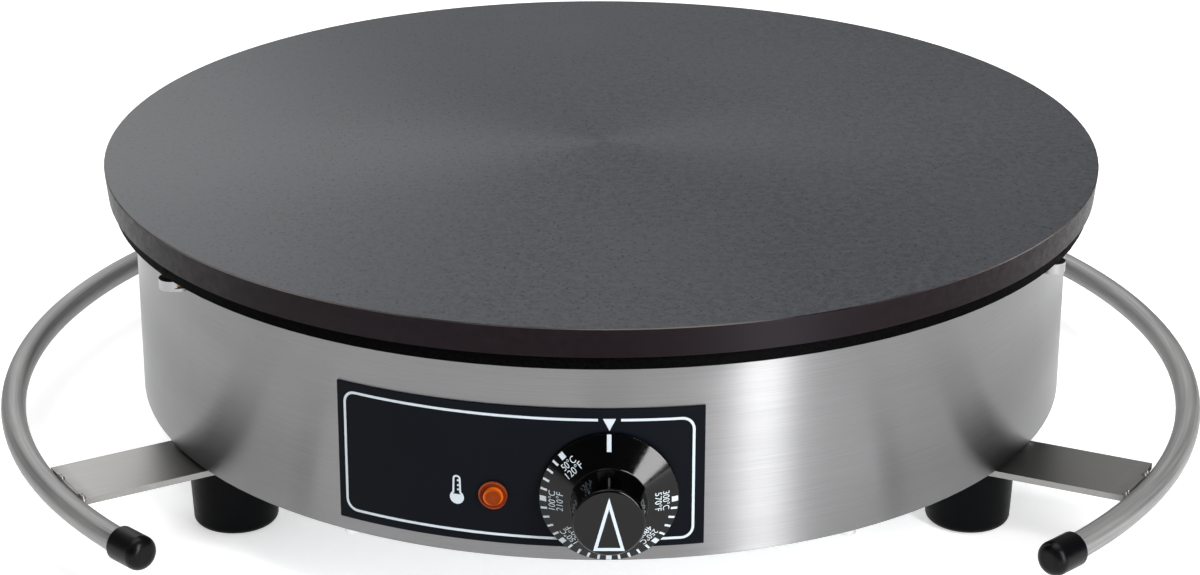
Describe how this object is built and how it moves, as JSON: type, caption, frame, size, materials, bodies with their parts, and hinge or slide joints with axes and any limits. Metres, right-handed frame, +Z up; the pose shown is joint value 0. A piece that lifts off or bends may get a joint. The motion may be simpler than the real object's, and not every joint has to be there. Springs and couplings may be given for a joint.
{
  "type": "electric crepe maker",
  "caption": "Round electric crepe griddle: flat iron plate on a brushed steel drum with a front dial thermostat, pilot lamp, side hoop handles and black feet.",
  "frame": {"origin": "on the floor under the centre of the griddle plate, which is the bottom centre of the bounding box", "axes": "+Z up, -Y towards the user (the control panel and knob), +X to the right as the user sees it; the side handles lie on the X axis"},
  "size_m": [0.494, 0.4258, 0.127],
  "materials": {
    "plate_iron": "fine machined face, satin, seasoned dark",
    "support_steel": "satin pressed steel",
    "zinc_fasteners": "bright zinc plated",
    "brass_fasteners": "plain machined",
    "casing_steel": "brushed round the casing",
    "base_steel": "galvanised sheet",
    "panel_film": "smooth printed film",
    "handle_steel": "satin drawn tube",
    "bracket_steel": "satin flat bar",
    "cap_plastic": "satin black moulding",
    "foot_rubber": "satin black moulding",
    "knob_plastic": "glossy black moulding with white print",
    "shaft_steel": "bright turned",
    "control_plastic": "brown moulding",
    "contact_brass": "pressed tabs",
    "sensor_copper": "drawn tube",
    "element_steel": "dull heat-darkened sheath",
    "shield_alu": "bright aluminised sheet",
    "mineral_mat": "pressed mineral fibre",
    "lens_amber": "clear amber moulding",
    "lamp_plastic": "white moulding",
    "block_plastic": "cream moulding",
    "wire_sleeve": "silicone sleeve",
    "earth_sleeve": "silicone sleeve",
    "gland_plastic": "satin moulding",
    "seal_rubber": "plain moulding"
  },
  "bodies": {
    "housing": {"griddle_plate": "plate_iron", "plate_supports": "support_steel", "support_studs": "zinc_fasteners", "support_nuts": "brass_fasteners", "casing": "casing_steel", "base_plate": "base_steel", "base_screws": "zinc_fasteners", "control_panel": "panel_film", "right_handle_tube": "handle_steel", "left_handle_tube": "handle_steel", "front_right_end_cap": "cap_plastic", "rear_right_end_cap": "cap_plastic", "rear_left_end_cap": "cap_plastic", "front_left_end_cap": "cap_plastic", "front_right_bracket": "bracket_steel", "rear_right_bracket": "bracket_steel", "rear_left_bracket": "bracket_steel", "front_left_bracket": "bracket_steel", "bracket_screws": "zinc_fasteners", "bracket_nuts": "zinc_fasteners", "front_right_foot": "foot_rubber", "rear_right_foot": "foot_rubber", "rear_left_foot": "foot_rubber", "front_left_foot": "foot_rubber", "foot_bolts": "zinc_fasteners", "foot_nuts": "zinc_fasteners", "thermostat_body": "control_plastic", "thermostat_blades": "contact_brass", "thermostat_bracket": "base_steel", "thermostat_screws": "zinc_fasteners", "chassis_screws": "zinc_fasteners", "chassis_nuts": "zinc_fasteners", "temperature_sensor": "sensor_copper", "capillary_tube": "sensor_copper", "sensor_clip": "zinc_fasteners", "heating_element": "element_steel", "element_pins": "zinc_fasteners", "element_clamps": "support_steel", "clamp_studs": "zinc_fasteners", "clamp_nuts": "zinc_fasteners", "heat_shield": "shield_alu", "insulation_mat": "mineral_mat", "shield_pillars": "zinc_fasteners", "pillar_screws": "zinc_fasteners", "pilot_lamp_lens": "lens_amber", "pilot_lamp_body": "lamp_plastic", "pilot_lamp_clip": "zinc_fasteners", "terminal_block": "block_plastic", "terminal_screws": "brass_fasteners", "earth_screw": "brass_fasteners", "earth_nut": "brass_fasteners", "thermostat_wires": "wire_sleeve", "element_wires": "wire_sleeve", "earth_wire": "earth_sleeve", "gland_body": "gland_plastic", "gland_cap": "gland_plastic", "gland_seal": "seal_rubber", "gland_locknut": "gland_plastic"},
    "knob": {"thermostat_knob": "knob_plastic", "thermostat_shaft": "shaft_steel"}
  },
  "joints": [
    {"name": "knob_turn", "type": "hinge", "parent": "housing", "child": "knob", "pos_m": [0.003, -0.19, 0.0581], "axis": [0, 1, 0], "range_deg": [0, 270]}
  ]
}
